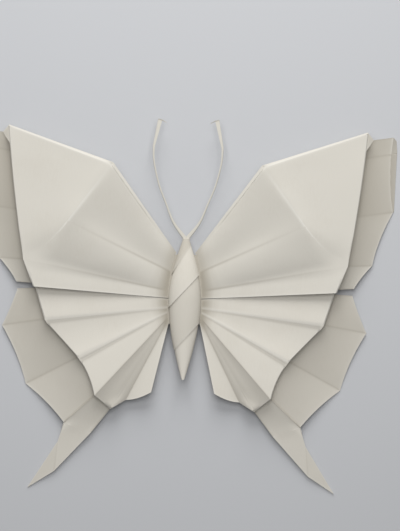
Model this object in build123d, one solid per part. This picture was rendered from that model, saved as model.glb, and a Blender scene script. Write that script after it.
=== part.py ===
from build123d import *
import math
import os

# A paper butterfly lying on a table: two pleated wing sheets held by a wound paper body, and a folded antenna strip.
# The origin is on the table under the thickest part of the body. +Y points to the head and +X to the right wing.

half_span = 84.3
fore_reach = 68.8
hind_reach = 76.9
wing_height = 12.0
paper = 0.3
front_hem = 0.985
hem_drop = 0.37

# The crimp is the double fold that sets each border below the panel it belongs to.
crimp_depth = 4.5
crimp_drop = 2.2
crimp_tuck = 0.18

body_half_width = 6.3
body_half_height = 4.73
body_axis_height = 4.15
head_length = 24.8
abdomen_length = 31.5
head_end_radius = 1.2
tail_end_radius = 0.5
tail_lift = 3.4
wrap_slope = 1.1
wrap_lap = 0.4
slot_clearance = 0.06

antenna_reach = 47.4
antenna_spread = 13.7
antenna_rise = 3.0
antenna_width = 1.8
stem_length = 5.0
stem_width = 1.5
stem_lead = 0.6

# Where each crease leaves the flat neck inside the body, as shares of the body's half width and of the head's length.
fore_root_shares = {
    "lead": (0.714, 0.742),
    "valley": (0.937, 0.46),
    "soft": (1.08, 0.157),
    "lower": (1.127, 0.036),
}
hind_root_shares = {
    "front": (1.127, 0.026),
    "rib_1": (1.095, -0.117),
    "foot_1": (1.095, -0.135),
    "rib_2": (1.095, -0.194),
    "foot_2": (1.09, -0.212),
    "rib_3": (1.063, -0.274),
    "tail": (1.048, -0.292),
    "valley": (1.03, -0.319),
    "trailing": (1.0, -0.379),
}

# Corners of the right forewing, as shares of half_span, fore_reach and wing_height.
fore_shares = {
    "apex": (0.358, 0.776, 1.0),
    "apex_edge": (0.350, 0.789, 0.935),
    "tip": (0.852, 0.993, 0.542),
    "tip_edge": (0.8505, 1.0, 0.516),
    "ridge_foot": (0.558, 0.448, 0.928),
    "low_edge": (0.7675, 0.221, 0.65),
    "slit": (0.7165, 0.064, 0.68),
    "border_top": (0.98, 0.981, 0.087),
    "border_rim": (0.9715, 0.881, 0.074),
    "border_a": (0.988, 0.544, 0.014),
    "border_b": (0.892, 0.227, 0.066),
    "border_slit": (0.8055, 0.0887, 0.166),
    "flange_top": (0.996, 0.962, 0.0),
    "flange_rim": (1.0, 0.894, 0.0),
    "flange_end": (0.991, 0.547, 0.0),
}
fore_crease_shares = (0.05, 0.184, 0.634)
fore_slit_share = 0.88

# Corners of the right hindwing, as shares of half_span, hind_reach and wing_height.
hind_shares = {
    "front": (0.714, 0.064, 0.385),
    "rib_1": (0.662, -0.112, 0.512),
    "foot_1": (0.6525, -0.131, 0.464),
    "rib_2": (0.4995, -0.306, 0.6),
    "foot_2": (0.4865, -0.328, 0.48),
    "rib_3": (0.4175, -0.502, 0.64),
    "tail": (0.343, -0.572, 0.36),
    "valley": (0.2705, -0.525, 0.283),
    "trailing": (0.1495, -0.481, 0.466),
    "border_slit": (0.8005, 0.044, 0.131),
    "border_1": (0.872, -0.151, 0.066),
    "border_2": (0.753, -0.456, 0.0),
    "border_3": (0.5645, -0.6515, 0.175),
    "tail_side": (0.434, -0.702, 0.14),
    "tail_out": (0.592, -0.7515, 0.1),
    "tail_in": (0.6075, -0.91, 0.075),
    "tail_tip": (0.7345, -1.0, 0.0),
}
hind_slit_share = 0.08

# How far a panel's middle swells and its outer edge rises, as shares of wing_height.
rise_shares = {"flat": 0, "outer": -0.03, "inner": 0.05, "roll": 0.064, "fan": -0.048, "riser": -0.032, "border": 0.024}
# How far a panel's outer edge bows in towards the body, as shares of half_span.
bow_shares = {
    "straight": 0,
    "fore_edge": -0.008,
    "rim": 0.0095,
    "tip_a": 0.0142,
    "tip_b": 0.007,
    "tip_1": 0.004,
    "tip_2": 0.012,
    "tip_3": 0.0095,
    "fan_3": 0.0095,
    "lower": -0.012,
}

# The antenna's middle line, as shares of its spread, its reach, its rise and its greatest width.
antenna_shares = (
    (0.044, 0.0105, 0.0, 0.72),
    (0.38, 0.139, 0.1, 0.48),
    (0.613, 0.3, 0.3, 0.34),
    (0.825, 0.456, 0.5, 0.32),
    (0.978, 0.641, 0.8, 0.34),
    (1.0, 0.768, 1.0, 0.46),
)
club_share = (0.825, 1.0, 1.1, 1.0)
flag_share = (0.64, 0.972, 1.0)

# The turns of paper on the body: for each its cross-sections, as shares of the body's length and of wrap_slope.
turn_shares = (
    ((0.0, 0.0), (0.076, 1.0)),
    ((0.076, 1.0), (0.15, 1.0), (0.25, 1.0), (0.366, 1.0)),
    ((0.366, 1.0), (0.494, 1.0), (0.6, 1.0), (0.716, 1.0)),
    ((0.716, 1.0), (0.805, 0.8), (0.885, 0.5), (0.947, 0.25), (1.0, 0.0)),
)
# How finely the paper's curves are drawn, and how often a slanting cut is worked out again until it is settled.
net_steps = 5
section_points = 24
section_passes = 20


def up(length):
    return Vector(0, 0, length)


def spot(shares, reach):
    return Vector(shares[0] * half_span, shares[1] * reach, shares[2] * wing_height)


def root_spot(shares):
    return Vector(shares[0] * body_half_width, shares[1] * head_length, body_axis_height)


def plan_direction(start, end):
    return Vector(end.X - start.X, end.Y - start.Y, 0).normalized()


def between(start, end, share):
    return start * (1 - share) + end * share


def bowed_spot(edge_a, edge_b, share, rise="flat", bow="straight"):
    """A spot along a panel's outer edge, which bows in towards the body and rises or sinks in its middle."""
    middle = between(edge_a, edge_b, 0.5)
    inward = plan_direction(middle, Vector(0, 0, 0)) * (bow_shares[bow] * half_span)
    lift = up(rise_shares[rise] * wing_height)
    return between(edge_a, edge_b, share) + (inward + lift) * (4 * share * (1 - share))


def paper_solid(rows):
    """The solid under a net of spots, as thick as the paper, from flat facets."""
    faces = []
    for row, after in zip(rows, rows[1:]):
        for a, b, c, d in zip(row, row[1:], after[1:], after):
            for corners in ((a, b, c), (a, c, d)):
                faces.append(Face(Wire.make_polygon(corners)))
                faces.append(Face(Wire.make_polygon([corner + up(paper) for corner in corners])))
    rim = rows[0] + [row[-1] for row in rows[1:]] + rows[-1][-2::-1] + [row[0] for row in rows[-2:0:-1]]
    for a, b in zip(rim, rim[1:] + rim[:1]):
        faces.append(Face(Wire.make_polygon([a, b, b + up(paper), a + up(paper)])))
    return Solid(Shell(faces))


def panel(root_a, edge_a, edge_b, root_b, rise="flat", bow="straight", swell="flat"):
    """A paper panel between two straight creases, root_a to edge_a and root_b to edge_b."""
    steps = net_steps if swell != "flat" else 1
    rows = []
    for n in range(net_steps + 1):
        root = between(root_a, root_b, n / net_steps)
        edge = bowed_spot(edge_a, edge_b, n / net_steps, rise, bow)
        row = []
        for m in range(steps + 1):
            fullness = 16 * n * (net_steps - n) * m * (steps - m) / (net_steps * steps) ** 2
            row.append(between(root, edge, m / steps) + up(fullness * rise_shares[swell] * wing_height))
        rows.append(row)
    return paper_solid(rows)


def flat_panel(*corners):
    return Solid.extrude(Face(Wire.make_polygon(corners)), up(paper))


def hidden_spot(edge, border):
    """Where the crimp turns out again, under the panel and in line with the border's crease."""
    return edge + plan_direction(border, edge) * crimp_depth - up(crimp_drop)


def tucked(fold, other):
    """A fold's place on the lower of its two layers, set into the upper layer so that the two are one sheet."""
    return fold + plan_direction(fold, other) * crimp_tuck - up(paper / 2)


def crimp(edges, feet, borders, rises, fan_bows, bows):
    """The return layer below a panel's outer edge, and the border that comes out from under it."""
    hidden = [hidden_spot(edge, border) for edge, border in zip(edges, borders)]
    solids = []
    for n in range(len(edges) - 1):
        start = tucked(feet[n], hidden[n])
        end = tucked(edges[n + 1], hidden[n + 1])
        solids.append(panel(hidden[n], start, end, hidden[n + 1], rises[n], fan_bows[n]))
        if feet[n] != edges[n]:
            solids.append(flat_panel(hidden[n], tucked(edges[n], hidden[n]), start))
    inner = [tucked(point, border) for point, border in zip(hidden, borders)]
    for n, bow in enumerate(bows):
        rise = "flat" if bow == "straight" else "border"
        solids.append(panel(inner[n], borders[n], borders[n + 1], inner[n + 1], rise, bow))
    return solids


def hem_spot(fold, other):
    """Where the narrow hem in front of a fold ends, beside one end of the fold and square to it."""
    along = plan_direction(fold, other)
    return fold + Vector(-along.Y, along.X, 0) * front_hem - up(hem_drop)


def sheet(solids, neck):
    """One sheet of paper: the right wing's panels, their mirror images and the flat neck between them."""
    far_neck = [Vector(-corner.X, corner.Y, corner.Z) for corner in reversed(neck)]
    mirrored = [solid.mirror(Plane.YZ) for solid in solids]
    return flat_panel(*neck, *far_neck).fuse(*solids, *mirrored)


def fore_panels(root, at):
    return [
        panel(root["lead"], hem_spot(root["lead"], at["apex"]), at["apex_edge"], at["apex"]),
        panel(at["apex_edge"], at["tip_edge"], at["tip"], at["apex"]),
        panel(at["apex"], at["tip"], at["low_edge"], at["ridge_foot"], bow="fore_edge", swell="outer"),
        panel(root["lead"], at["apex"], at["ridge_foot"], root["valley"], swell="inner"),
        panel(root["valley"], at["ridge_foot"], at["low_edge"], root["soft"], swell="roll"),
        panel(root["soft"], at["low_edge"], at["slit"], root["lower"]),
    ]


def fore_border(at):
    edges = [bowed_spot(at["tip"], at["low_edge"], share, bow="fore_edge") for share in fore_crease_shares]
    edges.append(at["low_edge"])
    edges.append(between(at["low_edge"], at["slit"], fore_slit_share))
    borders = [at[name] for name in ("border_top", "border_rim", "border_a", "border_b", "border_slit")]
    rises = ["flat"] * 4
    fan_bows = ["straight"] * 4
    solids = crimp(edges, edges, borders, rises, fan_bows, ("straight", "rim", "tip_a", "tip_b"))
    solids.append(panel(at["border_top"], at["flange_top"], at["flange_rim"], at["border_rim"]))
    solids.append(panel(at["flange_rim"], at["border_rim"], at["border_a"], at["flange_end"], "border", "rim"))
    return solids


def hind_panels(root, at):
    creases = ("front", "rib_1", "foot_1", "rib_2", "foot_2", "rib_3", "tail", "valley", "trailing")
    rises = ("flat", "flat", "fan", "flat", "flat", "riser", "flat", "fan")
    bows = ("straight", "straight", "straight", "straight", "fan_3", "straight", "straight", "lower")
    solids = []
    for first, second, rise, bow in zip(creases, creases[1:], rises, bows):
        solids.append(panel(root[first], at[first], at[second], root[second], rise, bow))
    return solids


def hind_border(at):
    slit_edge = between(at["front"], at["rib_1"], hind_slit_share)
    edges = [slit_edge, at["rib_1"], at["rib_2"], at["rib_3"], at["tail"]]
    feet = [slit_edge, at["foot_1"], at["foot_2"], at["rib_3"], at["tail"]]
    borders = [at[name] for name in ("border_slit", "border_1", "border_2", "border_3", "tail_side")]
    rises = ("flat", "fan", "flat", "riser")
    fan_bows = ("straight", "straight", "fan_3", "straight")
    solids = crimp(edges, feet, borders, rises, fan_bows, ("tip_1", "tip_2", "tip_3", "straight"))
    solids.append(panel(at["border_3"], at["tail_out"], at["tail_in"], at["tail_side"]))
    solids.append(flat_panel(at["tail_out"], at["tail_tip"], at["tail_in"]))
    return solids


def make_forewings():
    root = {name: root_spot(shares) for name, shares in fore_root_shares.items()}
    at = {name: spot(shares, fore_reach) for name, shares in fore_shares.items()}
    return sheet(fore_panels(root, at) + fore_border(at), list(root.values()))


def make_hindwings():
    root = {name: root_spot(shares) for name, shares in hind_root_shares.items()}
    at = {name: spot(shares, hind_reach) for name, shares in hind_shares.items()}
    return sheet(hind_panels(root, at) + hind_border(at), list(root.values()))


def body_fullness(y):
    """How thick the body is at y, as shares of its half width, from a cosine towards each end."""
    length, end_radius = (head_length, head_end_radius) if y > 0 else (abdomen_length, tail_end_radius)
    end_share = end_radius / body_half_width
    return end_share + (1 - end_share) * math.cos(math.pi / 2 * abs(y) / length)


def body_lift(y):
    """How far the body's axis rises towards the tail end, which is off the table."""
    return tail_lift * (max(0, -y) / abdomen_length) ** 2


def body_section(length_share, slope_share, grown):
    """A slanting cross-section of the body, along a turn of the paper that is wound on it."""
    middle = head_length - length_share * (head_length + abdomen_length)
    points = []
    for n in range(section_points):
        angle = 2 * math.pi * n / section_points
        y = middle
        for _ in range(section_passes):
            size = body_fullness(y) * grown
            y = middle + slope_share * wrap_slope * size * body_half_width * math.sin(angle)
        x = size * body_half_width * math.sin(angle)
        z = body_axis_height + body_lift(y) + size * body_half_height * math.cos(angle)
        points.append(Vector(x, y, z))
    return Wire.make_polygon(points, close=True)


def body_turn(sections):
    """One turn of paper, which widens towards its free lower edge and laps over the next turn there."""
    wires = []
    for n, (length_share, slope_share) in enumerate(sections):
        grown = 1 + wrap_lap / body_half_width * n / (len(sections) - 1)
        wires.append(body_section(length_share, slope_share, grown))
    return Solid.make_loft(wires, ruled=True)


def block(x_size, y_low, y_high, z_low, z_high):
    """A block centred on X between two places along Y and two heights."""
    low_corner = Location((-x_size / 2, y_low, z_low))
    return low_corner * Solid.make_box(x_size, y_high - y_low, z_high - z_low)


def make_body():
    turns = [body_turn(sections) for sections in turn_shares]
    wound = turns[0].fuse(*turns[1:])
    width = 4 * body_half_width
    under = block(width, -2 * abdomen_length, 2 * head_length, -body_half_height, 0)
    slot_back = hind_root_shares["trailing"][1] * head_length - slot_clearance
    slot_front = fore_root_shares["lead"][1] * head_length + slot_clearance
    slot_top = body_axis_height + paper + slot_clearance
    slot = block(width, slot_back, slot_front, body_axis_height, slot_top)
    socket_back = head_length - stem_length - slot_clearance
    socket_half = paper + slot_clearance
    socket_low = body_axis_height - socket_half
    socket = block(
        stem_width + 2 * slot_clearance, socket_back, 2 * head_length, socket_low, socket_low + 2 * socket_half
    )
    return wound.cut(under, slot, socket)


def antenna_spot(shares):
    x = shares[0] * antenna_spread
    y = head_length + shares[1] * antenna_reach
    return Vector(x, y, body_axis_height - paper + shares[2] * antenna_rise)


def make_antennae():
    """A strip folded double along its length: a stem in the head, two arms, and a turned-in flag on each club."""
    middle = [antenna_spot(shares) for shares in antenna_shares]
    left, right = [], []
    for n, point in enumerate(middle):
        along = plan_direction(middle[max(n - 1, 0)], middle[min(n + 1, len(middle) - 1)])
        across = Vector(along.Y, -along.X, 0) * (antenna_shares[n][3] * antenna_width / 2)
        left.append(point - across)
        right.append(point + across)
    club = antenna_spot(club_share)
    club_along = plan_direction(middle[-1], club)
    club_across = Vector(club_along.Y, -club_along.X, 0) * (club_share[3] * antenna_width / 2)
    club_left = club - club_across
    club_right = club + club_across
    arm_face = Face.make_surface_from_curves(Edge.make_spline(left), Edge.make_spline(right))
    club_face = Face.make_bezier_surface([[left[-1], right[-1]], [club_left, club_right]])
    flag_face = Face(Wire.make_polygon([club_left, club_right, antenna_spot(flag_share)]))
    arms = [Solid.extrude(face, up(2 * paper)) for face in (arm_face, club_face, flag_face)]
    arms += [arm.mirror(Plane.YZ) for arm in arms]
    low = body_axis_height - paper
    stem = block(stem_width, head_length - stem_length, head_length + stem_lead, low, low + 2 * paper)
    return stem.fuse(*arms)


os.makedirs("parts", exist_ok=True)
export_step(make_forewings(), "parts/forewings.step")
export_step(make_hindwings(), "parts/hindwings.step")
export_step(make_body(), "parts/body_wrap.step")
export_step(make_antennae(), "parts/antennae.step")
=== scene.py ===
# %% [markdown]
# # A folded paper butterfly
# The butterfly lies on a table with its wings spread. It is four pieces of plain off-white paper: a
# forewing sheet and a hindwing sheet, each pleated and passed through the body, the body itself, which is
# a strip wound to a spindle, and a narrow strip folded double for the antennae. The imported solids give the
# sizes and the places. They are nets of flat facets, so each is replaced here by softer paper with round
# folds.

import math

import bpy
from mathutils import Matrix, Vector


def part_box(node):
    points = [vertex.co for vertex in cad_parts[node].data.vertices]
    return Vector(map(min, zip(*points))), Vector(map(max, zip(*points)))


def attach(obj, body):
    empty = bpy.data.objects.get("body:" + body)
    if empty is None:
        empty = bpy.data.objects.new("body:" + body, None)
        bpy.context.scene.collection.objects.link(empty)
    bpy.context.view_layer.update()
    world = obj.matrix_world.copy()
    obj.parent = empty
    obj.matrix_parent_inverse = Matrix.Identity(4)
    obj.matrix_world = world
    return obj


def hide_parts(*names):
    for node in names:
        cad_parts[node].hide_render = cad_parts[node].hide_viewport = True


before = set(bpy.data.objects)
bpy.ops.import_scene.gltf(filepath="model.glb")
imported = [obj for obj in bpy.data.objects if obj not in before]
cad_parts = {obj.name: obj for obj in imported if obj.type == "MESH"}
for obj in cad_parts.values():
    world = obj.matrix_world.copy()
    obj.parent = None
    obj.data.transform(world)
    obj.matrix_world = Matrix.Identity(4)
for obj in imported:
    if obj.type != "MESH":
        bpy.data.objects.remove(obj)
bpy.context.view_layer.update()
mm = 0.001

# %% [markdown]
# ## Driving sizes
# The solids were drawn from a few lengths, and the boxes of the nodes give them back: half the span, how
# far the forewings reach to the front and the hindwings to the back, and where the body ends. The height
# of the wings and the girth of the body are shares of the span. The paper is as thick as card for folding.

# %% Sizes from the frame
_, fore_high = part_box("forewings")
hind_low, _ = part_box("hindwings")
body_low, body_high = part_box("body_wrap")
half_span = fore_high.x
fore_reach = fore_high.y
hind_reach = -hind_low.y
wing_height = 0.14235 * half_span
paper = 0.3 * mm
body_half_width = 0.0747 * half_span
body_half_height = 0.75 * body_half_width
body_axis = 0.0492 * half_span
head_length = body_high.y
abdomen_length = -body_low.y
print("half span", round(half_span / mm, 1), "reach", round(fore_reach / mm, 1), round(hind_reach / mm, 1))

# %% [markdown]
# ## A paper panel
# A folded wing is a handful of panels between creases. One could fold a flat sheet crease by crease, but
# each fold would carry the next ones with it. Here every panel starts as a grid, the flat net that one
# would add by hand, and its points are laid between the panel's four corners, so that each corner is where
# it should be. The net is closer at the creases, so that a fold is a small round bend and not a knife
# edge. Two attributes are kept for the finish. The first is above zero on a ridge or an edge, which is
# painted paler, partly as rubbed paper and partly as a painted highlight, and below zero in a valley,
# where it is painted shade. The second is painted shade: how much darker the paper is painted where a
# lower layer or gathered pleats would lie in shade.

# %% Add a net and mark its folds
ridge_width = 0.6 * mm
valley_width = 0.45 * mm

# how strongly each kind of crease mark shows at the start and at the end of its crease: above zero the paper
# is painted paler, as rubbed paper and as a painted highlight, below zero it gets painted shade
none = (0, 0)
ridge = (1, 1)
hem_ridge = (0, 1)
growing_ridge = (0.2, 2.6)
fading_ridge = (2.6, -1.8)
valley = (-1, -1)
fading_valley = (-1.5, 0)
faint_valley = (-0.5, -0.5)


def add_net(steps_along, steps_out):
    bpy.ops.object.select_all(action="DESELECT")
    bpy.ops.mesh.primitive_grid_add(x_subdivisions=steps_along, y_subdivisions=steps_out, size=1)
    net = bpy.context.object
    # the first attribute paints rubbed pale and painted highlight above zero and painted shade below zero,
    # the second paints shade
    for name in ("fold", "painted_shade"):
        net.data.attributes.new(name, "FLOAT", "POINT")
    return net


def fold_mark(gap, kind, share):
    """How strongly a crease shows at a gap from it and at a share of its length: above zero as pale rub
    and painted highlight, below zero as painted shade. A ridge may fade to none.
    """
    strength = kind[0] * (1 - share) + kind[1] * share
    if kind[0] > 0:
        strength = max(0, strength)
    width = ridge_width if strength > 0 else valley_width
    return strength * math.exp(-((gap / width) ** 2))


print("marks in mm: ridge", round(ridge_width / mm, 2), "and valley", round(valley_width / mm, 2))

# %% Lay a net between four corners
net_steps = 18
crowding = 0.86
# width of the painted shade beside the body
root_shade_width = 3.8 * mm
no_folds = (none, none, none, none)


def crowded(share):
    return share - crowding * math.sin(2 * math.pi * share) / (2 * math.pi)


def bowed(edge_a, edge_b, share, rise, bow):
    """A place on the line from edge_a to edge_b, which rises and bows in towards the body in its middle."""
    middle = edge_a.lerp(edge_b, 0.5)
    inward = Vector((-middle.x, -middle.y, 0)).normalized() * bow
    return edge_a.lerp(edge_b, share) + (inward + Vector((0, 0, rise))) * (4 * share * (1 - share))


def lay_panel(
    root_a, edge_a, edge_b, root_b, rise=0, bow=0, swell=(0, 0), cup=0, hollow=0, roll=0,
    folds=no_folds, painted_shade=(0, 0), root_shade=0,
):
    """Lays a panel from its inner edge (root_a to root_b) to its outer edge, between the creases a and b.

    The outer edge can rise, bow and roll under. A swell lifts the panel near crease a and near crease b,
    a cup sinks all of it, and a hollow sinks its outer half. The folds are those along crease a, the outer
    edge, crease b and the inner edge, marked pale or with painted shade. The painted shade goes from root
    to edge, and the root shade adds more painted shade at the root, beside the body.
    """
    net = add_net(net_steps, net_steps)
    marks = net.data.attributes["fold"].data
    painted_shades = net.data.attributes["painted_shade"].data
    length = ((edge_a - root_a).length + (edge_b - root_b).length) / 2
    for point in net.data.vertices:
        along = crowded(point.co.x + 0.5)
        out = crowded(point.co.y + 0.5)
        root = root_a.lerp(root_b, along)
        edge = bowed(edge_a, edge_b, along, rise, bow)
        width = (root_a - root_b).lerp(edge_a - edge_b, out).length
        point.co = root.lerp(edge, out)
        # 16, 4 and 27 bring the deepest or highest place of each form to its full size
        fullness = 16 * along * (1 - along) * (swell[0] * (1 - along) + swell[1] * along)
        steepening = 27 * hollow * along * (1 - along) * out
        point.co.z += (fullness - cup * 4 - steepening) * out * (1 - out)
        gap = (1 - out) * length
        if gap < roll:
            point.co.z -= roll - math.sqrt(roll**2 - (roll - gap) ** 2)
        gaps = (along * width, gap, (1 - along) * width, out * length)
        shares = (out, along, out, along)
        marks[point.index].value = max((fold_mark(*near) for near in zip(gaps, folds, shares)), key=abs)
        # painted shade beside the body, strongest at the root and fading outwards
        root_shaded = root_shade * math.exp(-((out * length / root_shade_width) ** 2))
        # painted shade from root to edge, with the painted shade beside the body added
        painted_shades[point.index].value = painted_shade[0] * (1 - out) + painted_shade[1] * out + root_shaded
    return net


print("panel net:", net_steps, "by", net_steps)

# %% [markdown]
# ## From panels to a sheet
# The panels of one wing are joined, and points that lie on the same crease are merged, so that the paper
# runs on from panel to panel. A bevel would round all creases alike. A real crease is sharp where it was
# pressed and opens out further on, so heights are averaged across the crease, over a width that changes
# along it.

# %% Join panels
merge_gap = 0.01 * mm


def join_panels(panels, name):
    bpy.ops.object.select_all(action="DESELECT")
    for panel in panels:
        panel.select_set(True)
    bpy.context.view_layer.objects.active = panels[0]
    bpy.ops.object.join()
    piece = bpy.context.object
    piece.name = name
    piece.data.name = name
    bpy.ops.object.mode_set(mode="EDIT")
    bpy.ops.mesh.select_all(action="SELECT")
    bpy.ops.mesh.remove_doubles(threshold=merge_gap)
    bpy.ops.object.mode_set(mode="OBJECT")
    return piece


print("points closer than", round(merge_gap / mm, 3), "mm are merged")

# %% Round a crease or bow it
soft_samples = 6


def soften(piece, start, end, start_width, end_width):
    """Rounds a crease: near the line from start to end each point takes the mean height across the line."""
    line = Vector((end.x - start.x, end.y - start.y))
    across = Vector((line.y, -line.x, 0)).normalized()
    moved = {}
    for point in piece.data.vertices:
        spot = Vector((point.co.x - start.x, point.co.y - start.y))
        share = max(0, min(1, spot.dot(line) / line.length_squared))
        width = start_width * (1 - share) + end_width * share
        away = (spot - line * share).length / width
        if away >= 1:
            continue
        heights = []
        for n in range(-soft_samples, soft_samples + 1):
            above = point.co + across * (n / soft_samples * width)
            above.z = wing_height * 2
            hit, place, _, _ = piece.ray_cast(above, Vector((0, 0, -1)))
            if hit:
                heights.append(place.z)
        moved[point.index] = point.co.z + (sum(heights) / len(heights) - point.co.z) * (1 - away**2) ** 2
    for index, height in moved.items():
        piece.data.vertices[index].co.z = height
    piece.data.update()


def bow_crease(piece, start, end, bow, reach):
    """Bows a crease in plan: points near the line from start to end move sideways, most in its middle."""
    line = Vector((end.x - start.x, end.y - start.y))
    across = Vector((line.y, -line.x, 0)).normalized()
    for point in piece.data.vertices:
        spot = Vector((point.co.x - start.x, point.co.y - start.y))
        share = max(0, min(1, spot.dot(line) / line.length_squared))
        away = min(1, (spot - line * share).length / reach)
        point.co += across * (4 * bow * share * (1 - share) * (1 - away**2) ** 2)
    piece.data.update()


print("heights are averaged over", 2 * soft_samples + 1, "places across a crease")

# %% [markdown]
# One wing is then made a whole sheet. A Mirror modifier folds the other wing, a weak Displace gives the
# slight waves that handled paper has, and Solidify gives the sheet its thickness. All three are applied,
# so that the finished piece is a plain mesh.

# %% Finish a sheet
wave_size = 16 * mm
wave_height = 0.35 * mm
smooth_angle = math.radians(38)
waves = bpy.data.textures.new("paper_waves", "CLOUDS")
waves.noise_scale = wave_size
waves.noise_depth = 2


def mirror_other_side(piece):
    mirror = piece.modifiers.new("other_side", "MIRROR")
    mirror.merge_threshold = merge_gap


def thicken(piece, thickness):
    solid = piece.modifiers.new("thickness", "SOLIDIFY")
    solid.thickness = thickness
    solid.offset = 0


def apply_modifiers(piece):
    bpy.ops.object.select_all(action="DESELECT")
    piece.select_set(True)
    bpy.context.view_layer.objects.active = piece
    for modifier in list(piece.modifiers):
        bpy.ops.object.modifier_apply(modifier=modifier.name)


def smooth_outwards(piece):
    bpy.ops.object.mode_set(mode="EDIT")
    bpy.ops.mesh.select_all(action="SELECT")
    bpy.ops.mesh.normals_make_consistent(inside=False)
    bpy.ops.object.mode_set(mode="OBJECT")
    bpy.ops.object.shade_smooth_by_angle(angle=smooth_angle)


def finish_sheet(panels, name):
    piece = join_panels(panels, name)
    mirror_other_side(piece)
    wave = piece.modifiers.new("waves", "DISPLACE")
    wave.texture = waves
    wave.texture_coords = "LOCAL"
    wave.direction = "Z"
    wave.strength = wave_height
    thicken(piece, paper)
    apply_modifiers(piece)
    smooth_outwards(piece)
    print(name, "has", len(piece.data.polygons), "faces")
    return piece


print("waves in mm:", round(wave_size / mm, 1), "long and", round(wave_height / mm, 2), "high")

# %% [markdown]
# ## The crimp
# Each wing has a stepped border. On the real sheet it is a double fold: the panel ends in a fold, a hidden
# layer goes back under it, turns again and comes out as the border, a little lower. A separate strip would
# look the same from above. Both layers are laid here, because the hidden one shows from below and closes
# the step at the side. The border lies lower than the panel and in its shade, so it gets painted shade,
# most of all next to the step.

# %% Lay the hidden layer and the border
crimp_depth = 4.5 * mm
crimp_drop = 2.2 * mm
edge_roll = 0.5 * mm
border_rise = 0.024 * wing_height
border_cup = 0.7 * mm
# painted shade on each border, stronger next to the step and weaker at the rim
border_painted_shade = (1.25, 0.65)


def plan_direction(start, end):
    return Vector((end.x - start.x, end.y - start.y, 0)).normalized()


def lay_crimp(edges, feet, borders, rises, fan_bows, bows, rims):
    """Lays a hidden layer and a border for each pair of edges.

    The rims give, for each border, the rise of its rim, the fold along it, its cup and how strong its painted
    shade is.
    """
    roll = Vector((0, 0, edge_roll))
    drop = Vector((0, 0, crimp_drop))
    hidden = []
    for edge, border in zip(edges, borders):
        hidden.append(edge + plan_direction(border, edge) * crimp_depth - drop)
    panels = []
    for n, (rise, rim, cup, shade_strength) in enumerate(rims):
        corners = (hidden[n], feet[n] - roll, edges[n + 1] - roll, hidden[n + 1])
        panels.append(lay_panel(*corners, rises[n], fan_bows[n]))
        corners = (hidden[n], borders[n], borders[n + 1], hidden[n + 1])
        folds = (valley, rim, valley, none)
        painted_shade = (border_painted_shade[0] * shade_strength, border_painted_shade[1] * shade_strength)
        panels.append(lay_panel(*corners, rise, bows[n], cup=cup, folds=folds, painted_shade=painted_shade))
    return panels


print("crimp in mm:", round(crimp_depth / mm, 1), "deep, drops by", round(crimp_drop / mm, 1))

# %% [markdown]
# ## The forewings
# The corners of the right wing are given as shares of the span, the reach and the height, as one would
# mark them on a plan of the model. A ridge runs from the front corner down the wing, a valley crease comes
# up from the body to meet it, and a softer crease lies along the lower edge. The front edges have a narrow
# hem, and at the tip a small tuck shows beside the step. The solid has the same corners in plan, so both
# have the same outline.

# %% Corners of the forewing
fore_root_shares = {
    "lead": (0.714, 0.742),
    "valley": (0.937, 0.46),
    "soft": (1.08, 0.157),
    "lower": (1.127, 0.036),
}
fore_shares = {
    "lead_edge": (0.044, 0.276, 0.333),
    "apex": (0.358, 0.776, 1.0),
    "apex_edge": (0.350, 0.789, 0.968),
    "tip": (0.852, 0.993, 0.542),
    "tip_edge": (0.8505, 1.0, 0.532),
    "ridge_foot": (0.558, 0.448, 0.928),
    "low_edge": (0.7675, 0.221, 0.70),
    "slit": (0.7165, 0.064, 0.70),
    "border_top": (0.98, 0.981, 0.087),
    "border_rim": (0.9715, 0.881, 0.074),
    "border_a": (0.988, 0.544, 0.014),
    "border_b": (0.892, 0.227, 0.066),
    "border_slit": (0.8055, 0.0887, 0.166),
    "flange_top": (0.996, 0.962, 0.0),
    "flange_rim": (1.0, 0.894, 0.0),
    "flange_end": (0.991, 0.547, 0.0),
    "tuck": (0.88, 0.959, 0.45),
}
mid_paper = Vector((0, 0, paper / 2))


def root_spot(shares):
    return Vector((shares[0] * body_half_width, shares[1] * head_length, body_axis)) + mid_paper


def wing_spot(shares, reach):
    return Vector((shares[0] * half_span, shares[1] * reach, shares[2] * wing_height)) + mid_paper


fore_root = {name: root_spot(shares) for name, shares in fore_root_shares.items()}
fore = {name: wing_spot(shares, fore_reach) for name, shares in fore_shares.items()}
print("forewing tip in mm:", [round(v / mm, 1) for v in fore["tip"]])

# %% Lay the forewing panels
fore_edge_bow = -0.008 * half_span
outer_swell = (-0.03 * wing_height, -0.03 * wing_height)
inner_swell = (0.11 * wing_height, 0.0)
inner_hollow = 0.8 * mm
roll_swell = (0.064 * wing_height, 0.064 * wing_height)
# painted shade beside the body at the wing roots, a milder and a stronger amount
mild_root_shade = 1.6
strong_root_shade = 2.6
# painted shade on the part of the sheet inside the body
neck_painted_shade = (2, 2)


def lay_neck(roots):
    """The flat part of a sheet inside the body, from the middle out to the roots of the creases."""
    middles = [Vector((0, root.y, root.z)) for root in roots]
    pairs = range(len(roots) - 1)
    return [lay_panel(middles[n], roots[n], roots[n + 1], middles[n + 1], painted_shade=neck_painted_shade) for n in pairs]


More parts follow.
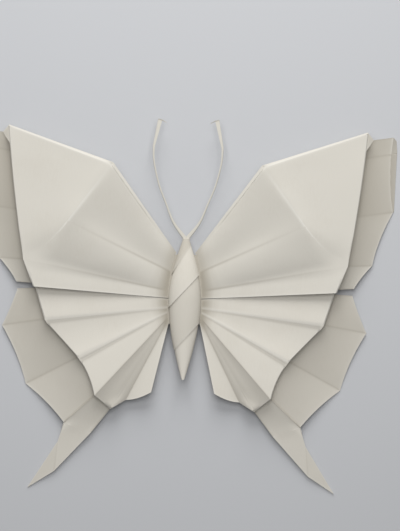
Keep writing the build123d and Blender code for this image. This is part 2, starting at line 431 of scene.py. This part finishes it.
lead, valley_root, soft, lower = fore_root.values()
apex, tip, ridge_foot, low_edge = (fore[name] for name in ("apex", "tip", "ridge_foot", "low_edge"))
side_hem = (lead, apex, fore["apex_edge"], fore["lead_edge"])
front_hem = (fore["apex_edge"], fore["tip_edge"], tip, apex)
outer_panel = (apex, tip, low_edge, ridge_foot)
outer_folds = (ridge, ridge, fading_ridge, growing_ridge)
inner_panel = (lead, apex, ridge_foot, valley_root)
inner_folds = (hem_ridge, growing_ridge, fading_valley, none)
rolled_panel = (valley_root, ridge_foot, low_edge, soft)
rolled_folds = (fading_valley, none, fading_valley, none)
lower_panel = (soft, low_edge, fore["slit"], lower)
lower_folds = (fading_valley, ridge, ridge, none)
fore_panels = [
    lay_panel(*side_hem, folds=(hem_ridge, none, none, none), root_shade=mild_root_shade),
    lay_panel(*front_hem, folds=(none, none, ridge, none)),
    lay_panel(*outer_panel, bow=fore_edge_bow, swell=outer_swell, roll=edge_roll, folds=outer_folds),
    lay_panel(*inner_panel, swell=inner_swell, hollow=inner_hollow, folds=inner_folds, root_shade=mild_root_shade),
    lay_panel(*rolled_panel, swell=roll_swell, folds=rolled_folds, root_shade=strong_root_shade),
    lay_panel(*lower_panel, roll=edge_roll, folds=lower_folds, root_shade=strong_root_shade),
]
fore_panels += lay_neck(list(fore_root.values()))
print(len(fore_panels), "forewing panels")

# %% [markdown]
# The ridge runs on past the place where the valley meets it, and fades. Its lower end is bowed into line
# with the upper one, and the creases are then rounded: sharp at the body and wide open at the step.

# %% Round the creases of the forewing
ridge_bow = 1.4 * mm
ridge_reach = 10 * mm
fore_top = join_panels(fore_panels, "forewing_paper")
bow_crease(fore_top, ridge_foot, low_edge, ridge_bow, ridge_reach)
soft_creases = (
    (apex, ridge_foot, 3 * mm, 0.5 * mm),
    (ridge_foot, low_edge, 0.5 * mm, 14 * mm),
    (valley_root, ridge_foot, 0.3 * mm, 4 * mm),
    (soft, low_edge, 0.3 * mm, 5 * mm),
)
for crease in soft_creases:
    soften(fore_top, *crease)
print(len(soft_creases), "creases rounded")

# %% Lay the forewing border and finish the sheet
fore_crease_shares = (0.05, 0.184, 0.634)
fore_slit_share = 0.88
rim_bow = 0.0095 * half_span
tip_a_bow = 0.0142 * half_span
tip_b_bow = 0.007 * half_span
# painted shade on the flange and on its fold
flange_painted_shade = (1.3, 1.3)
flange_fold_tone = (1.3, 1.7)
fore_edges = [bowed(tip, low_edge, share, 0, fore_edge_bow) for share in fore_crease_shares]
fore_edges += [low_edge, low_edge.lerp(fore["slit"], fore_slit_share)]
fore_borders = [fore[name] for name in ("border_top", "border_rim", "border_a", "border_b", "border_slit")]
border_bows = (0, rim_bow, tip_a_bow, tip_b_bow)
flat = (0, 0, 0, 0)
# for each border: rise of its rim, its rim fold, its cup and the strength of its painted shade
fore_rims = (
    (0, ridge, border_cup, 1.8),
    (border_rise, ridge, border_cup, 1.8),
    (border_rise, ridge, border_cup, 1.5),
    (border_rise, ridge, border_cup, 1.0),
)
fore_crimp = lay_crimp(fore_edges, fore_edges, fore_borders, flat, flat, border_bows, fore_rims)
flange = (fore["border_top"], fore["flange_top"], fore["flange_rim"], fore["border_rim"])
flange_fold = (fore["flange_rim"], fore["border_rim"], fore["border_a"], fore["flange_end"])
fore_crimp.append(lay_panel(*flange, painted_shade=flange_painted_shade))
fore_crimp.append(lay_panel(*flange_fold, border_rise, rim_bow, painted_shade=flange_fold_tone))
print(len(fore_crimp), "panels in the border")

# %% Tuck the tip and finish the forewings
tuck_share = 0.135
tuck_blunt_share = 0.02
# painted shade on the tuck
tuck_painted_shade = (0.8, 1.1)
tuck_start = fore["tip_edge"] - Vector((0, 0, paper))
tuck_end = bowed(tip, low_edge, tuck_share, 0, fore_edge_bow) - Vector((0, 0, edge_roll))
tuck = (tuck_start, fore["tuck"], fore["tuck"].lerp(tuck_end, tuck_blunt_share), tuck_end)
tuck_panel = lay_panel(*tuck, folds=(ridge, none, ridge, none), painted_shade=tuck_painted_shade)
forewings = finish_sheet([fore_top, *fore_crimp, tuck_panel], "forewing_paper")

# %% [markdown]
# ## The hindwings
# The hindwing is a fan. Two of its creases are small pleats, a rib with a foot beside it, so that the next
# panel starts a little lower. After a third rib a band goes down to a valley near the trailing edge, and the
# tail starts at the end of the band. A fan could be one net with a zigzag profile, but its creases aren't
# evenly spaced, so it is laid panel by panel. Its border has the same double fold as the forewing's.

# %% Corners of the hindwing
hind_root_shares = {
    "front": (1.127, 0.026),
    "rib_1": (1.095, -0.117),
    "foot_1": (1.095, -0.135),
    "rib_2": (1.095, -0.194),
    "foot_2": (1.09, -0.212),
    "rib_3": (1.063, -0.274),
    "tail": (1.048, -0.292),
    "valley": (1.03, -0.319),
    "trailing": (1.0, -0.379),
}
hind_shares = {
    "front": (0.714, 0.064, 0.43),
    "rib_1": (0.662, -0.112, 0.545),
    "foot_1": (0.6525, -0.131, 0.49),
    "rib_2": (0.4995, -0.306, 0.6),
    "foot_2": (0.4865, -0.328, 0.54),
    "rib_3": (0.4175, -0.502, 0.675),
    "tail": (0.343, -0.572, 0.43),
    "valley": (0.2705, -0.525, 0.283),
    "trailing": (0.1495, -0.481, 0.466),
    "border_slit": (0.8005, 0.044, 0.131),
    "border_1": (0.872, -0.151, 0.066),
    "border_2": (0.753, -0.456, 0.0),
    "border_3": (0.5645, -0.6515, 0.175),
    "tail_side": (0.434, -0.702, 0.14),
    "tail_out": (0.592, -0.7515, 0.1),
    "tail_in": (0.6075, -0.91, 0.075),
    "tail_tip": (0.7345, -1.0, 0.0),
}
hind_root = {name: root_spot(shares) for name, shares in hind_root_shares.items()}
hind = {name: wing_spot(shares, hind_reach) for name, shares in hind_shares.items()}
print("tail tip in mm:", [round(v / mm, 1) for v in hind["tail_tip"]])

# %% Lay the fan
fan_sag = -0.048 * wing_height
riser_sag = -0.032 * wing_height
fan_bow = 0.0095 * half_span
lower_bow = -0.012 * half_span
# painted shade on the band down to the valley
band_painted_shade = 0.5
# for each panel: rise, bow and roll of its outer edge, its painted shade and its folds
fan = (
    (0, 0, edge_roll, 0, (ridge, ridge, ridge, none)),
    (0, 0, 0, 0, (ridge, none, faint_valley, none)),
    (fan_sag, 0, edge_roll, 0, (faint_valley, ridge, ridge, none)),
    (0, 0, 0, 0, (ridge, none, faint_valley, none)),
    (0, fan_bow, edge_roll, 0, (faint_valley, ridge, faint_valley, none)),
    (riser_sag, 0, edge_roll, band_painted_shade, (faint_valley, ridge, none, none)),
    (0, 0, 0, band_painted_shade, (none, ridge, valley, none)),
    (fan_sag, lower_bow, 0, 0, (valley, ridge, ridge, none)),
)
creases = list(hind_root)
hind_panels = []
for first, second, (rise, bow, roll, painted_shade, folds) in zip(creases, creases[1:], fan):
    corners = (hind_root[first], hind[first], hind[second], hind_root[second])
    looks = {"folds": folds, "painted_shade": (painted_shade, painted_shade), "root_shade": strong_root_shade}
    hind_panels.append(lay_panel(*corners, rise, bow, roll=roll, **looks))
hind_panels += lay_neck(list(hind_root.values()))
print(len(hind_panels), "hindwing panels")

# %% Round the creases of the hindwing
pleat_widths = (0.2 * mm, 1.3 * mm)
band_widths = (0.3 * mm, 4 * mm)
pleats = ("rib_1", "foot_1", "rib_2", "foot_2")
hind_top = join_panels(hind_panels, "hindwing_paper")
for name in pleats:
    soften(hind_top, hind_root[name], hind[name], *pleat_widths)
soften(hind_top, hind_root["tail"], hind["tail"], *band_widths)
print(len(pleats) + 1, "creases rounded")

# %% Lay the hindwing border
hind_slit_share = 0.08
slit_edge = hind["front"].lerp(hind["rib_1"], hind_slit_share)
hind_edges = [slit_edge, hind["rib_1"], hind["rib_2"], hind["rib_3"], hind["tail"]]
hind_feet = [slit_edge, hind["foot_1"], hind["foot_2"], hind["rib_3"], hind["tail"]]
hind_borders = [hind[name] for name in ("border_slit", "border_1", "border_2", "border_3", "tail_side")]
hind_rises = (0, fan_sag, 0, riser_sag)
hind_fan_bows = (0, 0, fan_bow, 0)
hind_bows = (0.004 * half_span, 0.012 * half_span, 0.0095 * half_span, 0)
# for each border: rise of its rim, its rim fold, its cup and the strength of its painted shade
hind_rims = (
    (border_rise, ridge, border_cup, 1.2),
    (border_rise, ridge, border_cup, 0.95),
    (border_rise, ridge, border_cup, 0.8),
    (0, none, 0, 0.15),
)
hind_crimp = lay_crimp(hind_edges, hind_feet, hind_borders, hind_rises, hind_fan_bows, hind_bows, hind_rims)
print(len(hind_crimp), "panels in the border")

# %% [markdown]
# The tail is the last stretch of the border, drawn out to a point and folded once more near its tip. It is
# joined with that stretch first, so that the crease between them can be rounded like the others.

# %% Lay the tail and finish the hindwings
blunt_share = 0.995
# painted shade on the tail and on its tip
tail_painted_shade = (0.1, 0.1)
tail_tip_painted_shade = (0.3, 0.25)
tail_widths = (5 * mm, 4 * mm)
tail_end = hind["tail_out"].lerp(hind["tail_tip"], blunt_share)
tail_end_in = hind["tail_in"].lerp(hind["tail_tip"], blunt_share)
corners = (hind["border_3"], hind["tail_out"], hind["tail_in"], hind["tail_side"])
tail = lay_panel(*corners, folds=(ridge, faint_valley, ridge, none), painted_shade=tail_painted_shade)
corners = (hind["tail_out"], tail_end, tail_end_in, hind["tail_in"])
tail_tip = lay_panel(*corners, folds=(ridge, ridge, ridge, faint_valley), painted_shade=tail_tip_painted_shade)
tail_top = join_panels([hind_crimp[-1], tail, tail_tip], "hindwing_paper")
soften(tail_top, hind["border_3"], hind["tail_side"], *tail_widths)
hindwings = finish_sheet([hind_top, tail_top, *hind_crimp[:-1]], "hindwing_paper")

# %% [markdown]
# ## The body
# The body is a strip of paper wound to a spindle. Its turns lap over each other like a rolled cone, and
# each free edge shows as a slanting line with a small step. A turned spindle would have no such lines, and
# a wound spiral would need all its hidden layers. So the surface is a net bent to a tube: each row of
# points is a slanting cut through the spindle, and at a seam two rows make the step. Its tail end is
# lifted off the table.

# %% Sizes of the body
wrap_slope = 1.1
wrap_step = 0.4 * mm
head_end_radius = 1.2 * mm
tail_end_radius = 0.5 * mm
tail_lift = 3.4 * mm
slant_passes = 20
# each turn: its places along the body as a share of the length, with the slant there as a share of the slope
turn_shares = (
    ((0.0, 0.0), (0.1, 1.45)),
    ((0.1, 1.45), (0.15, 1.2), (0.25, 1.0), (0.366, 1.0)),
    ((0.366, 1.0), (0.494, 1.0), (0.6, 1.0), (0.716, 1.0)),
    ((0.716, 1.0), (0.805, 0.8), (0.885, 0.5), (0.947, 0.25), (1.0, 0.0)),
)


def body_fullness(y):
    length, end_radius = (head_length, head_end_radius) if y > 0 else (abdomen_length, tail_end_radius)
    end_share = end_radius / body_half_width
    return end_share + (1 - end_share) * math.cos(math.pi / 2 * min(abs(y) / length, 1))


def body_spot(length_share, slope_share, grown, angle):
    """A place on the body. The slant moves it to where the body is thinner, so x and y are found in turns."""
    middle = head_length - length_share * (head_length + abdomen_length)
    y = middle
    for _ in range(slant_passes):
        size = body_fullness(y) * grown
        x = size * body_half_width * math.sin(angle)
        y = middle + slope_share * wrap_slope * x
    lift = tail_lift * (max(0, -y) / abdomen_length) ** 2
    return Vector((x, y, max(0, body_axis + lift + size * body_half_height * math.cos(angle))))


print("body in mm:", round((head_length + abdomen_length) / mm, 1), "by", round(2 * body_half_width / mm, 1))

# %% Wind the body
points_round = 96
rows_between = 4
# painted shade for each turn of the body
turn_painted_shades = (1.35, 0.3, 0.55, 0)
# marks along the first and last row of each turn: painted shadow under the lapped edge above, and a pale
# rubbed free edge
turn_marks = ((0, 0.7), (-0.6, 0.7), (-0.3, 0.7), (-0.8, 0))
body_rows = []
for turn, painted_shade, (first_mark, last_mark) in zip(turn_shares, turn_painted_shades, turn_marks):
    last_place = len(turn) - 1
    last_row = last_place * rows_between
    for n in range(last_row + 1):
        step = min(n // rows_between, last_place - 1)
        part = n / rows_between - step
        length_share = turn[step][0] * (1 - part) + turn[step + 1][0] * part
        slope_share = turn[step][1] * (1 - part) + turn[step + 1][1] * part
        grown = 1 + wrap_step / body_half_width * n / last_row
        mark = {0: first_mark, last_row: last_mark}.get(n, 0)
        body_rows.append((length_share, slope_share, grown, mark, painted_shade))
body = add_net(points_round, len(body_rows) - 1)
for point in body.data.vertices:
    row = round((point.co.y + 0.5) * (len(body_rows) - 1))
    length_share, slope_share, grown, mark, painted_shade = body_rows[row]
    point.co = body_spot(length_share, slope_share, grown, 2 * math.pi * (point.co.x + 0.5))
    body.data.attributes["fold"].data[point.index].value = mark
    body.data.attributes["painted_shade"].data[point.index].value = painted_shade
body = join_panels([body], "wound_body")
bpy.ops.object.mode_set(mode="EDIT")
bpy.ops.mesh.select_all(action="SELECT")
bpy.ops.mesh.fill_holes(sides=0)
bpy.ops.object.mode_set(mode="OBJECT")
smooth_outwards(body)
print("body rows:", len(body_rows))

# %% [markdown]
# ## The antennae
# One narrow strip is folded double along its length and bent to a V. A curve with a round bevel would look
# like wire, so each arm is a net bent to a flat U: up one layer, round the fold and back along the other.
# Near the top it bends, widens to a club, and its end is turned in.

# %% Course of an antenna
antenna_reach = 47.4 * mm
antenna_spread = 13.7 * mm
antenna_rise = 3.0 * mm
antenna_width = 1.8 * mm
# places along an arm: shares of the spread, the reach, the rise and the width
arm_shares = (
    (0.03, -0.1, 0.0, 0.9),
    (0.044, 0.0105, 0.0, 0.95),
    (0.38, 0.139, 0.1, 0.52),
    (0.613, 0.3, 0.3, 0.34),
    (0.825, 0.456, 0.5, 0.32),
    (0.978, 0.641, 0.8, 0.34),
    (1.0, 0.768, 1.0, 0.46),
    (0.825, 1.0, 1.1, 1.0),
)


def arm_spot(shares):
    height = body_axis + shares[2] * antenna_rise
    return Vector((shares[0] * antenna_spread, head_length + shares[1] * antenna_reach, height))


def arm_at(share):
    """The middle and the width of the strip: smooth from the head to the bend, straight before and after."""
    last = len(arm_shares) - 1
    place = min(share * last, last - 1e-6)
    n = int(place)
    part = place - n
    start, end = arm_shares[n], arm_shares[n + 1]
    before = arm_shares[n - 1] if 1 < n < last - 1 else start
    after = arm_shares[n + 2] if 0 < n < last - 2 else end
    mixed = []
    for a, b, c, d in zip(before, start, end, after):
        curve = (2 * a - 5 * b + 4 * c - d) * part**2 + (3 * b - a - 3 * c + d) * part**3
        mixed.append(b + 0.5 * ((c - a) * part + curve))
    return arm_spot(mixed), mixed[3] * antenna_width


print("antenna tip in mm:", [round(v / mm, 1) for v in arm_at(1)[0]])

# %% Fold the antenna strip
arm_steps = 60
strip_steps = 16
layer_gap = 0.3 * mm
strip_thickness = 0.26 * mm
half_width_share = 0.44
fold_crowding = 1.5
layer_split = 4
look_ahead = 0.01


def across_arm(start, end):
    along = plan_direction(start, end)
    return Vector((along.y, -along.x, 0))


arm = add_net(strip_steps, arm_steps)
for point in arm.data.vertices:
    share = point.co.y + 0.5
    middle, width = arm_at(share)
    across = across_arm(arm_at(max(share - look_ahead, 0))[0], arm_at(min(share + look_ahead, 1))[0])
    turn = point.co.x * 2
    side = width * half_width_share * (1 - 2 * abs(turn) ** fold_crowding)
    height = layer_gap / 2 * max(-1, min(1, turn * layer_split))
    point.co = middle + across * side + Vector((0, 0, height))
print("arm net:", strip_steps, "by", arm_steps)

# %% Turn in the end of the club
club_share = 0.97
flag_shares = (0.64, 0.972, 1.0)
flag_blunt = 0.1 * mm
# painted shade on the turned-in end of the club
flag_painted_shade = (0.9, 0.6)
flag_root, flag_width = arm_at(1)
club_foot = arm_at(club_share)[0]
club_across = across_arm(club_foot, flag_root) * (flag_width / 2)
flag_lift = Vector((0, 0, layer_gap))
flag_tip = arm_spot(flag_shares) + flag_lift
flag_corners = (
    flag_root - club_across + flag_lift,
    flag_tip,
    flag_tip + plan_direction(club_foot, flag_root) * flag_blunt,
    flag_root + club_across + flag_lift,
)
flag = lay_panel(*flag_corners, painted_shade=flag_painted_shade)
antennae = join_panels([arm, flag], "antenna_strip")
mirror_other_side(antennae)
thicken(antennae, strip_thickness)
apply_modifiers(antennae)
smooth_outwards(antennae)
print("antenna strip has", len(antennae.data.polygons), "faces")

# %% [markdown]
# ## The paper's finish
# All four pieces are the same kind of uncoated paper. It could be one flat colour, but paper is never
# quite even. One node group makes its effects: a faint cloudiness from uneven pulp, fine fibres that catch
# the light, ridges and edges painted a little paler, partly as rubbed paper and partly as a painted
# highlight, and painted shade in valleys, on lower layers and beside the body. The group puts out a
# colour, a roughness and a height, and each material keeps its own shader and its own tint.

# %% Helpers for nodes
def add_node(tree, kind, **settings):
    node = tree.nodes.new(kind)
    for name, value in settings.items():
        setattr(node, name, value)
    return node


def math_node(tree, operation, first, second):
    node = add_node(tree, "ShaderNodeMath", operation=operation)
    for socket, value in zip(node.inputs, (first, second)):
        if isinstance(value, (int, float)):
            socket.default_value = value
        else:
            tree.links.new(value, socket)
    return node.outputs[0]


def noise_node(tree, vector, scale, detail):
    node = add_node(tree, "ShaderNodeTexNoise")
    node.inputs["Scale"].default_value = scale
    node.inputs["Detail"].default_value = detail
    tree.links.new(vector, node.inputs["Vector"])
    return node.outputs["Fac"]


def mix_colour(tree, share, first, second):
    node = add_node(tree, "ShaderNodeMix", data_type="RGBA")
    for socket, value in zip((node.inputs[0], node.inputs[6], node.inputs[7]), (share, first, second)):
        if isinstance(value, tuple):
            socket.default_value = value
        else:
            tree.links.new(value, socket)
    return node.outputs[2]


print("helpers for maths, noise and mixed colours")

# %% Build the paper group
cloud_scale = 70
fibre_scale = 1400
grain_scale = 4200
fibre_stretch = (1, 0.25, 1)
sockets = (
    ("Tint", "INPUT", "NodeSocketColor"),
    ("Cloud", "INPUT", "NodeSocketFloat"),
    ("Rub_and_highlight", "INPUT", "NodeSocketFloat"),
    ("Color", "OUTPUT", "NodeSocketColor"),
    ("Roughness", "OUTPUT", "NodeSocketFloat"),
    ("Height", "OUTPUT", "NodeSocketFloat"),
)
paper_group = bpy.data.node_groups.new("uncoated_paper", "ShaderNodeTree")
for name, side, kind in sockets:
    paper_group.interface.new_socket(name, in_out=side, socket_type=kind)
entry = add_node(paper_group, "NodeGroupInput")
leave = add_node(paper_group, "NodeGroupOutput")
place = add_node(paper_group, "ShaderNodeTexCoord").outputs["Object"]
stretch = add_node(paper_group, "ShaderNodeMapping")
stretch.inputs["Scale"].default_value = fibre_stretch
paper_group.links.new(place, stretch.inputs["Vector"])
cloud = noise_node(paper_group, place, cloud_scale, 4)
fibre = noise_node(paper_group, stretch.outputs["Vector"], fibre_scale, 3)
grain = noise_node(paper_group, place, grain_scale, 2)
fold = add_node(paper_group, "ShaderNodeAttribute", attribute_name="fold").outputs["Fac"]
painted_shade = add_node(paper_group, "ShaderNodeAttribute", attribute_name="painted_shade").outputs["Fac"]
print("paper group has", len(paper_group.nodes), "nodes")

# %% Join the effects of the paper group
# colour for ridges and edges: rubbed paper and painted highlight
pale = (0.86, 0.84, 0.78, 1)
dull = (0.60, 0.555, 0.47, 1)
# painted shade colour, for lower layers, the roots, valleys and lines under lapped edges
painted_shade_colour = (0.42, 0.385, 0.32, 1)
fibre_share = 0.3
painted_shade_share = 0.4
groove_shade_share = -0.38
grain_share = 0.6
least_roughness = 0.76
roughness_range = 0.14


def scaled(value, factor):
    return math_node(paper_group, "MULTIPLY", value, factor)


def about_middle(value):
    return math_node(paper_group, "SUBTRACT", value, 0.5)


clouded = scaled(about_middle(cloud), entry.outputs["Cloud"])
fibred = scaled(about_middle(fibre), fibre_share)
mottle = math_node(paper_group, "MAXIMUM", math_node(paper_group, "ADD", clouded, fibred), 0)
tinted = mix_colour(paper_group, mottle, entry.outputs["Tint"], dull)
# painted shade from the second attribute
painted_shaded = mix_colour(paper_group, scaled(painted_shade, painted_shade_share), tinted, painted_shade_colour)
# ridges and edges painted paler, partly as rubbed paper and partly as a painted highlight
wear_and_highlight = scaled(scaled(math_node(paper_group, "MAXIMUM", fold, 0), cloud), entry.outputs["Rub_and_highlight"])
rubbed_and_highlit = mix_colour(paper_group, wear_and_highlight, painted_shaded, pale)
# valleys and the lines under lapped edges get painted shade
groove_shade = scaled(math_node(paper_group, "MINIMUM", fold, 0), groove_shade_share)
groove_shaded = mix_colour(paper_group, groove_shade, rubbed_and_highlit, painted_shade_colour)
rough = math_node(paper_group, "ADD", scaled(grain, roughness_range), least_roughness)
relief = math_node(paper_group, "ADD", fibre, scaled(grain, grain_share))
for name, value in (("Color", groove_shaded), ("Roughness", rough), ("Height", relief)):
    paper_group.links.new(value, leave.inputs[name])
print("paper group now has", len(paper_group.nodes), "nodes")

# %% [markdown]
# A material for each piece places the group and gives it a tint, a cloudiness and a strength for the pale
# rub and painted highlight. The body's tint is a little paler, because the painted shade of its turns
# darkens it again. The antennae get the strongest rub, though no marks are laid on their strip for it to
# show on. Each piece rides on the one body of the frame and replaces its CAD node.

# %% Dress the four pieces
# for each piece: tint, cloudiness, and the strength of the pale rub and painted highlight
finishes = {
    "forewings": ((0.725, 0.695, 0.625, 1), 0.55, 0.55),
    "hindwings": ((0.725, 0.692, 0.620, 1), 0.55, 0.55),
    "body_wrap": ((0.75, 0.715, 0.639, 1), 0.55, 0.5),
    "antennae": ((0.725, 0.695, 0.620, 1), 0.4, 0.7),
}
fibre_depth = 0.03 * mm
fibre_strength = 0.5
sheen = 0.25


def new_paper(name, tint, cloudiness, rub_and_highlight):
    material = bpy.data.materials.new(name + "_paper")
    material.use_nodes = True
    tree = material.node_tree
    shader = tree.nodes["Principled BSDF"]
    shader.inputs["Specular IOR Level"].default_value = sheen
    made = add_node(tree, "ShaderNodeGroup", node_tree=paper_group)
    made.inputs["Tint"].default_value = tint
    made.inputs["Cloud"].default_value = cloudiness
    made.inputs["Rub_and_highlight"].default_value = rub_and_highlight
    bump = add_node(tree, "ShaderNodeBump")
    bump.inputs["Strength"].default_value = fibre_strength
    bump.inputs["Distance"].default_value = fibre_depth
    tree.links.new(made.outputs["Color"], shader.inputs["Base Color"])
    tree.links.new(made.outputs["Roughness"], shader.inputs["Roughness"])
    tree.links.new(made.outputs["Height"], bump.inputs["Height"])
    tree.links.new(bump.outputs["Normal"], shader.inputs["Normal"])
    return material


pieces = {"forewings": forewings, "hindwings": hindwings, "body_wrap": body, "antennae": antennae}
for node, piece in pieces.items():
    piece.data.materials.clear()
    piece.data.materials.append(new_paper(node, *finishes[node]))
    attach(piece, "root")
    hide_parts(node)
print("dressed", ", ".join(pieces))

# %% [markdown]
# ## Floor, light and camera
# A plain pale floor carries the shadow. One large soft lamp stands beyond the head, so that the ridges and
# pleats get a light and a shaded side, and a weaker one hangs above. One lamp overhead would flatten the
# folds. The camera looks straight down.

# %% Lay the floor
floor_size = 6.0
floor_gap = 0.1 * mm
floor_colour = (0.60, 0.61, 0.63, 1)
bpy.ops.object.select_all(action="DESELECT")
bpy.ops.mesh.primitive_plane_add(size=floor_size, location=(0, 0, -floor_gap))
floor = bpy.context.object
floor.name = "floor"
floor_paint = bpy.data.materials.new("pale_floor")
floor_paint.use_nodes = True
floor_shader = floor_paint.node_tree.nodes["Principled BSDF"]
floor_shader.inputs["Base Color"].default_value = floor_colour
floor_shader.inputs["Roughness"].default_value = 0.9
floor_shader.inputs["Specular IOR Level"].default_value = 0.1
floor.data.materials.append(floor_paint)
print("floor of", floor_size, "m")

# %% Hang the lamps
world_strength = 0.16


def hang_lamp(name, place, size, power):
    bpy.ops.object.light_add(type="AREA", location=place)
    lamp = bpy.context.object
    lamp.name = name
    lamp.data.size = size
    lamp.data.energy = power
    lamp.rotation_euler = (-Vector(place)).to_track_quat("-Z", "Y").to_euler()
    print(name, "at", place, "with", power, "W")


hang_lamp("head_lamp", place=(0.0, 0.75, 0.42), size=0.55, power=5.95)
hang_lamp("top_lamp", place=(0.0, 0.12, 0.5), size=0.3, power=1.05)
world = bpy.data.worlds.new("studio")
bpy.context.scene.world = world
world.use_nodes = True
world.node_tree.nodes["Background"].inputs["Color"].default_value = (1, 1, 1, 1)
world.node_tree.nodes["Background"].inputs["Strength"].default_value = world_strength
bpy.context.scene.view_settings.view_transform = "Standard"

# %% Set the camera
view_height = 212.4 * mm
view_middle = Vector((5.8 * mm, 14.2 * mm, 0))
view_turn = math.radians(1.3)
lens = 100
sensor = 36
nearest = 0.01
camera_height = view_height * lens / sensor + wing_height / 2
bpy.ops.object.camera_add(location=view_middle + Vector((0, 0, camera_height)), rotation=(0, 0, view_turn))
camera = bpy.context.object
camera.data.lens = lens
camera.data.sensor_width = sensor
camera.data.clip_start = nearest
bpy.context.scene.camera = camera
print("camera", round(camera_height, 3), "m above the table")
